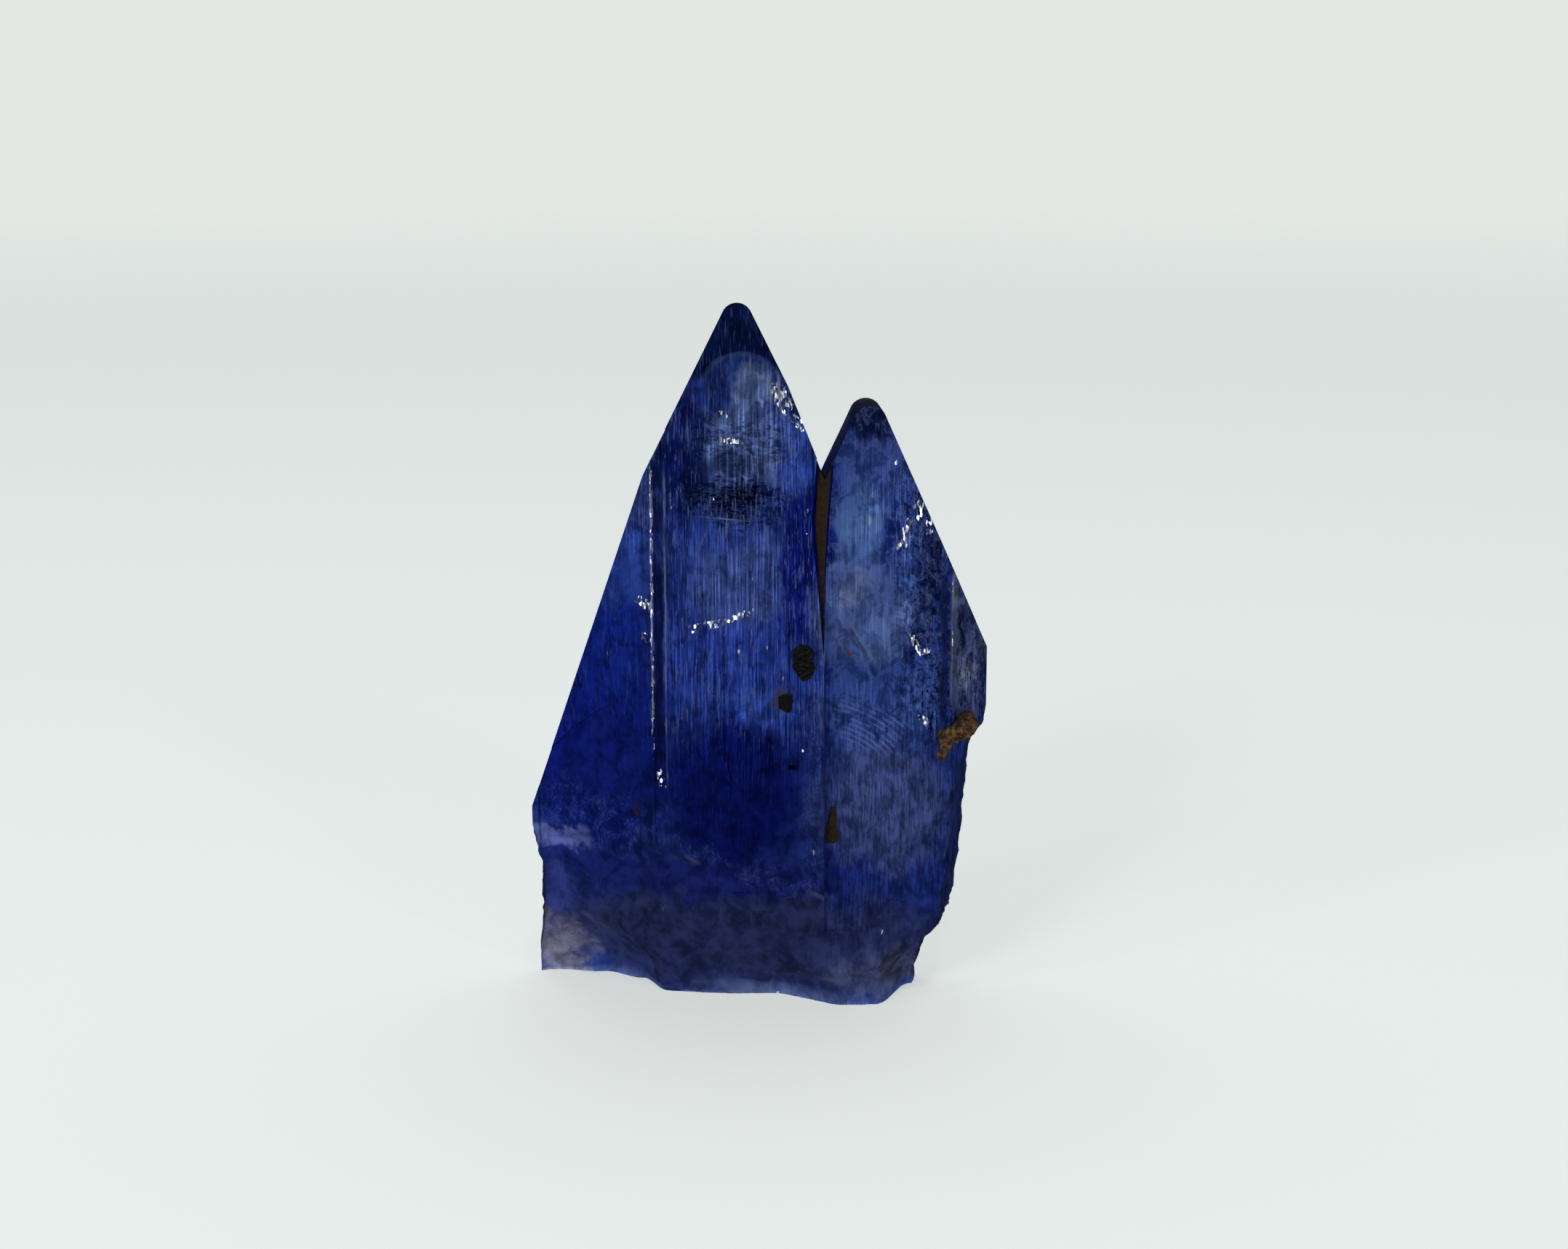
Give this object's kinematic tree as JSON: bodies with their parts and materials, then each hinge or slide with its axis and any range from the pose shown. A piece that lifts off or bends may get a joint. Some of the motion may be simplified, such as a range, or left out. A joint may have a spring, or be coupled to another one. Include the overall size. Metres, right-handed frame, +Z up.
{
  "type": "tanzanite crystal",
  "caption": "Natural blue-violet tanzanite crystal: striated gable-tipped blade with a shorter blade grown beside it, standing on a flat cut foot.",
  "frame": {"origin": "the surface that the crystal stands on, under the middle of its box", "axes": "+Z up along the striations, -Y out of the main front face, +X to the right as that face is seen"},
  "size_m": [0.0168, 0.0072, 0.0259],
  "materials": {
    "tanzanite": "clear deep violet-blue crystal, glassy striated faces, milky healed cracks, rough broken foot",
    "graphite": "black, faintly metallic graphite",
    "rusty_matrix": "dull brown iron-stained matrix"
  },
  "bodies": {
    "root": {"crystal": "tanzanite", "graphite_flake": "graphite", "graphite_grain": "graphite", "notch_matrix": "rusty_matrix", "shoulder_matrix": "rusty_matrix", "groove_matrix": "rusty_matrix"}
  },
  "joints": []
}
